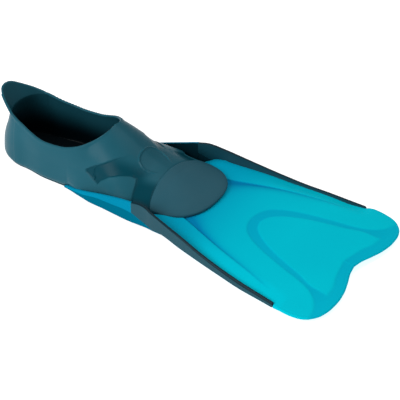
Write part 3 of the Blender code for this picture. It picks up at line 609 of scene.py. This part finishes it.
def blade_plan(rows=230, columns=161):
    """Grid of plan points over the blade, between its two side edges, its root and its tail."""
    side = smooth_line(BLADE_SIDE, rows)
    half = smooth_line(TAIL_EDGE[::-1], columns // 2 + 1)
    tail = np.concatenate((half[::-1], half[1:] * np.array((1.0, -1.0))))
    u = np.linspace(0.0, 1.0, columns)[None, :, None]
    v = np.linspace(0.0, 1.0, rows)[:, None, None]
    left, right = side[:, None, :], (side * np.array((1.0, -1.0)))[:, None, :]
    root = (side[0] * (1.0 - u[0]) + side[0] * np.array((1.0, -1.0)) * u[0])[None]
    end = tail[None]
    corners = ((1 - v) * ((1 - u) * left[0] + u * right[0]) + v * ((1 - u) * left[-1] + u * right[-1]))
    return (1 - u) * left + u * right + (1 - v) * root + v * end - corners


def blade_relief(plan):
    """Height and tones of the relief on the blade: creases, chevron and tail band, edge line; the crease tone is
    painted shade in the creases and at the root.
    """
    x, y = plan[..., 0], np.abs(plan[..., 1])
    crease = smooth_line(CREASE, 40)
    at = np.interp(x, crease[:, 0], crease[:, 1])
    run = (crease[-1, 1] - crease[0, 1]) / (crease[-1, 0] - crease[0, 0])
    inward = (at - y) / math.hypot(1.0, run)
    fade = ramp(x, 0.250, 0.262) * (1.0 - ramp(x, 0.385, 0.408))
    spread = curve(x, CREASE_SPREAD)
    outer_side = np.exp(-(inward / CREASE_OUTER_WIDTH)**2)
    hollow = np.where(inward > 0.0, np.exp(-np.clip(inward, 0.0, None) / spread), outer_side) * fade
    outer, inner, border = (smooth_line(line, 60) for line in (CHEVRON_OUTER, CHEVRON_INNER, BORDER_INNER))
    loop = [tuple(p) for p in outer] + list(BEYOND_TAIL)
    loop += [tuple(p) for p in border] + [tuple(p) for p in inner[::-1]] + [(0.3340, -0.0010)]
    depth = line_distance(x, y, loop, closed=True) * np.where(inside(x, y, loop), 1.0, -1.0)
    near_tail = ramp(x, 0.44, 0.47)
    soft = BAND_SOFTNESS * (1.0 + 2.0 * near_tail)
    band = ramp(depth, -soft, soft)
    tail_line, side_line = smooth_line(TAIL_EDGE, EDGE_STEPS), smooth_line(BLADE_SIDE, EDGE_STEPS)
    edge = np.minimum(line_distance(x, y, tail_line), line_distance(x, y, side_line[FREE_SIDE_FROM:]))
    line = np.exp(-((edge - 0.0032) / 0.0007)**2) * ramp(x, 0.420, 0.432)
    height = -curve(x, CREASE_DEPTH) * hollow - BAND_DEPTH * band - 0.0002 * line
    # painted shade: the crease hollows and the blade's root
    crease_and_root_shade = hollow * curve(x, CREASE_SHADE) + curve(x, ROOT_SHADE)
    return height, band * (1.0 - 0.35 * near_tail), np.clip(crease_and_root_shade, 0.0, 1.0), edge


def build_blade(material):
    plan = blade_plan()
    x = plan[..., 0]
    height, band, crease, edge = blade_relief(plan)
    thickness = ROOT_THICKNESS + (TAIL_THICKNESS - ROOT_THICKNESS) * ramp(x, HINGE_X, TAIL_X)
    middle = blade_top(x) - 0.5 * thickness
    rounding = np.sqrt(np.clip(1.0 - np.clip(1.0 - edge / 0.0016, 0.0, 1.0)**2, 0.0, 1.0))
    rounding = np.where(x > 0.416, np.maximum(rounding, 0.25), 1.0)
    off_middle = np.clip(np.abs(plan[..., 1]) / ARCH_HALF_WIDTH, 0.0, 1.0)
    middle = middle + curve(x, ARCH) * (1.0 - off_middle**ARCH_POWER)
    inward = curve(x, EDGE) - RAIL - np.abs(plan[..., 1])
    middle = middle - curve(x, SIDE_DIP) * (1.0 - ramp(inward, -0.001, SIDE_DIP_WIDTH))
    top = middle + 0.5 * thickness * rounding + height
    low = middle - 0.5 * thickness * rounding - 0.5 * height
    surface = Surface(tones=("band", "crease"))
    tones = {"band": band, "crease": crease}
    upper = np.concatenate((plan, top[..., None]), axis=-1)
    lower = np.concatenate((plan, low[..., None]), axis=-1)
    surface.add(upper, **tones)
    surface.add(lower, flip=True, **tones)
    for up, down in ((upper[0], lower[0]), (upper[-1], lower[-1]), (upper[:, 0], lower[:, 0]),
                     (upper[:, -1], lower[:, -1])):
        surface.add(np.stack((up, down)))
    return surface.build("blade", material, sharp=50.0)


# ---------------------------------------------------------------- materials

def new_material(name):
    mat = bpy.data.materials.new(name)
    mat.use_nodes = True
    nodes, links = mat.node_tree.nodes, mat.node_tree.links
    return mat, nodes, links, nodes["Principled BSDF"]


def noise(nodes, links, scale, detail=2.0, roughness=0.5):
    place = nodes.new("ShaderNodeTexCoord")
    texture = nodes.new("ShaderNodeTexNoise")
    texture.inputs["Scale"].default_value = scale
    texture.inputs["Detail"].default_value = detail
    texture.inputs["Roughness"].default_value = roughness
    links.new(place.outputs["Object"], texture.inputs["Vector"])
    return texture.outputs["Fac"]


def attribute(nodes, name):
    node = nodes.new("ShaderNodeAttribute")
    node.attribute_name = name
    return node.outputs["Fac"]


def mix_colour(nodes, links, factor, first, second):
    """Colour between two sockets or constant colours."""
    node = nodes.new("ShaderNodeMix")
    node.data_type = "RGBA"
    links.new(factor, node.inputs["Factor"])
    for value, socket in ((first, node.inputs["A"]), (second, node.inputs["B"])):
        if isinstance(value, tuple):
            socket.default_value = (*value, 1.0)
        else:
            links.new(value, socket)
    return node.outputs["Result"]


def map_range(nodes, links, value, low, high, to_low, to_high):
    node = nodes.new("ShaderNodeMapRange")
    node.clamp = True
    for key, number in (("From Min", low), ("From Max", high), ("To Min", to_low), ("To Max", to_high)):
        node.inputs[key].default_value = number
    links.new(value, node.inputs["Value"])
    return node.outputs["Result"]


def bump(nodes, links, shader, height, strength, distance):
    node = nodes.new("ShaderNodeBump")
    node.inputs["Strength"].default_value = strength
    node.inputs["Distance"].default_value = distance
    links.new(height, node.inputs["Height"])
    links.new(node.outputs["Normal"], shader.inputs["Normal"])


def moulded(name, light, dark, rough, grain, specular, tones=(), scale=22.0):
    """Moulded rubber or plastic: faint cloudiness, uneven gloss and fine grain, and tints set by tone attributes,
    some of them painted shade.
    """
    mat, nodes, links, shader = new_material(name)
    cloud = map_range(nodes, links, noise(nodes, links, scale, 3.0), 0.3, 0.7, 0.0, 1.0)
    colour = mix_colour(nodes, links, cloud, light, dark)
    for tone, tint in tones:
        colour = mix_colour(nodes, links, attribute(nodes, tone), colour, tint)
    links.new(colour, shader.inputs["Base Color"])
    patches = noise(nodes, links, 3.0 * scale, 2.0)
    gloss = map_range(nodes, links, patches, 0.3, 0.7, rough - GLOSS_SPREAD, rough + GLOSS_SPREAD)
    links.new(gloss, shader.inputs["Roughness"])
    shader.inputs["Specular IOR Level"].default_value = specular
    bump(nodes, links, shader, noise(nodes, links, 1400.0, 1.0), grain, 0.0002)
    return mat


# ---------------------------------------------------------------- studio

def build_studio():
    mesh = bpy.data.meshes.new("studio_floor")
    mesh.from_pydata([(-6, -6, 0), (6, -6, 0), (6, 6, 0), (-6, 6, 0)], [], [(0, 1, 2, 3)])
    floor = bpy.data.objects.new("studio_floor", mesh)
    bpy.context.collection.objects.link(floor)
    mat, _, _, shader = new_material("studio_floor")
    shader.inputs["Base Color"].default_value = (0.50, 0.50, 0.50, 1.0)
    shader.inputs["Roughness"].default_value = 0.9
    shader.inputs["Emission Color"].default_value = (1.0, 1.0, 1.0, 1.0)
    shader.inputs["Emission Strength"].default_value = 0.80
    mesh.materials.append(mat)
    world = bpy.data.worlds.new("studio")
    world.use_nodes = True
    world.node_tree.nodes["Background"].inputs["Color"].default_value = (1.0, 1.0, 1.0, 1.0)
    world.node_tree.nodes["Background"].inputs["Strength"].default_value = 0.42
    bpy.context.scene.world = world
    for name, place, size, power in LAMPS:
        light = bpy.data.lights.new(name, "AREA")
        light.size = size
        light.energy = power
        lamp = bpy.data.objects.new(name, light)
        lamp.location = place
        lamp.rotation_euler = (-Vector(place)).to_track_quat("-Z", "Y").to_euler()
        bpy.context.collection.objects.link(lamp)


def build_camera():
    camera = bpy.data.cameras.new("camera")
    camera.lens, camera.sensor_width = 180.9, 36.0
    camera.clip_end = 20.0
    obj = bpy.data.objects.new("camera", camera)
    right = Vector((0.84165, 0.54002, -0.00146))
    up = Vector((-0.31835, 0.49835, 0.80641))
    back = Vector((0.43621, -0.67826, 0.59135))
    turn = Matrix((right, up, back)).transposed().to_4x4()
    obj.matrix_world = Matrix.Translation((1.23581 - ORIGIN_X, -1.51490, 1.34087)) @ turn
    bpy.context.collection.objects.link(obj)
    bpy.context.scene.camera = obj


def build_sole(blue, rubber):
    """Tray, heel tread and ball grip."""
    xs = np.linspace(0.1035, 0.2615, 160)
    room = np.where(xs < COLOUR_BREAK_X, WALL, RAIL)
    # The tray's keel tint on its underside is painted shade.
    # The tray's lining tint on its top is painted shade in the gap beside the pocket.
    tray = plate_piece("sole_tray", blue, xs, curve(xs, EDGE, 1) - room - 0.0002, curve(xs, BOTTOM) - 0.0004,
                       np.maximum(curve(xs, BOTTOM) - 0.0032, 0.0004), tray_relief,
                       keel=(0.0, 1.0), lining=(1.0, 0.0))
    xs = np.concatenate((HEEL_FAN_X - 0.0385 * np.cos(np.linspace(0.06, 0.5 * math.pi, 30)),
                         np.linspace(HEEL_FAN_X, 0.103, 90)[1:]))
    width = (curve(xs, HALF_WIDTH) - 0.0040) * np.sqrt(1.0 - np.clip((HEEL_FAN_X - xs) / 0.0386, 0.0, 1.0)**2)
    tread = plate_piece("heel_tread", rubber, xs, width, np.full(xs.shape, 0.0028), np.zeros(xs.shape),
                        chevron_relief(0.0085, 0.0009, 0.0025))
    xs = np.linspace(0.165, 0.236, 110)
    round_off = np.sqrt(1.0 - np.clip(np.abs(xs - 0.2005) / 0.0357, 0.0, 1.0)**6)
    low = curve(xs, BOTTOM) - 0.0032
    grip = plate_piece("ball_tread", rubber, xs, 0.044 * round_off, low + 0.0006, low - 0.0014,
                       chevron_relief(0.0080, 0.0008, 0.0020))
    for obj, node, slot in ((tray, "sole_plate", "frame_plastic"), (tread, "outsole", "sole_rubber"),
                            (grip, "ball_grip", "sole_rubber")):
        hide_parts(node)
        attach(obj, "foot")


def main():
    # The inside tints of both rubbers are painted shade inside the pocket and the toe cap.
    # The pocket's waist tint is painted shade in the hollow of the waist.
    pocket_rubber = moulded("pocket_rubber", (0.013, 0.088, 0.122), (0.010, 0.079, 0.110), 0.36, 0.08, 0.06,
                            (("waist", (0.000, 0.042, 0.062)), ("inside", (0.000, 0.003, 0.005))))
    cap_rubber = moulded("cap_rubber", (0.016, 0.086, 0.120), (0.013, 0.078, 0.110), 0.60, 0.25, 0.16,
                         (("waist", (0.016, 0.086, 0.120)), ("inside", (0.001, 0.025, 0.040))))
    rail_rubber = moulded("rail_rubber", (0.008, 0.060, 0.084), (0.006, 0.054, 0.077), 0.45, 0.12, 0.12,
                          (("strip", (0.001, 0.018, 0.028)),))
    sole_rubber = moulded("sole_rubber", (0.006, 0.050, 0.068), (0.005, 0.042, 0.060), 0.70, 0.30, 0.15)
    insole = moulded("insole_foam", (0.002, 0.006, 0.009), (0.001, 0.005, 0.007), 0.85, 0.60, 0.06)
    # frame_plastic's keel tint is painted shade on faces turned down.
    # frame_plastic's lining tint is painted shade on the walls' inner faces and the tray's top.
    blue = moulded("frame_plastic", (0.001, 0.195, 0.325), (0.001, 0.183, 0.305), 0.50, 0.05, 0.00,
                   (("keel", (0.000, 0.115, 0.190)), ("lining", (0.002, 0.018, 0.027))), scale=14.0)
    # The blade's crease tint is painted shade in its creases and at its root.
    cyan = moulded("blade_plastic", (0.000, 0.510, 0.625), (0.000, 0.480, 0.600), 0.42, 0.05, 0.01,
                   (("band", (0.000, 0.390, 0.550)), ("crease", (0.000, 0.180, 0.370))), scale=9.0)

    shell, cap = build_pocket()
    pocket = shell.build("foot_pocket_skin", pocket_rubber)
    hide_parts("foot_pocket", "heel_tab")
    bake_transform(pocket)
    toe = cap.build("toe_cap_skin", cap_rubber)
    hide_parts("toe_cap")
    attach(toe, "foot")

    for side, hand in ((1.0, "left"), (-1.0, "right")):
        wall = wall_piece(f"side_wall_skin_{hand}", blue, side)
        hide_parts(f"side_wall_{hand}")
        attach(wall, "foot")
        rail = rail_piece(f"rail_skin_{hand}", rail_rubber, side)
        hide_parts(f"rail_root_{hand}", f"rail_{hand}")
        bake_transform(rail)
    blade = build_blade(cyan)
    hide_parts("blade_root", "blade_panel")
    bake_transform(blade)

    insole_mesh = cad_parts["footbed"].data
    insole_mesh.materials.clear()
    insole_mesh.materials.append(insole)
    build_sole(blue, sole_rubber)
    build_studio()
    build_camera()
    bpy.context.scene.view_settings.view_transform = "Standard"


main()
